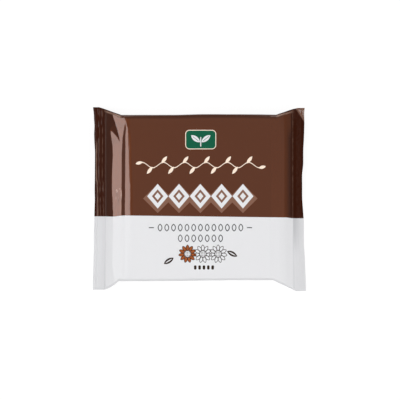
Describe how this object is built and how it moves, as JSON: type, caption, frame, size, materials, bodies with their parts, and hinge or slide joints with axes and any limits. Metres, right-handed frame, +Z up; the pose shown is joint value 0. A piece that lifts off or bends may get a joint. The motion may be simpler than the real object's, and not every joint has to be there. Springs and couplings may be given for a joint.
{
  "type": "chocolate halva in a flow-wrap pack",
  "caption": "Flat square slab of chocolate halva shut in a glossy brown and white flow-wrap pack, with ribbed end seals, eared corners and a folded fin seal on the back.",
  "frame": {"origin": "on the table, under the middle of the pack as it lies on its back", "axes": "+X runs from the left end seal to the right one, +Y up the printed front, +Z up out of the front panel"},
  "size_m": [0.1536, 0.1318, 0.0159],
  "materials": {
    "printed_film": "glossy polypropylene film, printed dark brown above and white below"
  },
  "bodies": {
    "root": {"halva_pack": "printed_film"}
  },
  "joints": []
}
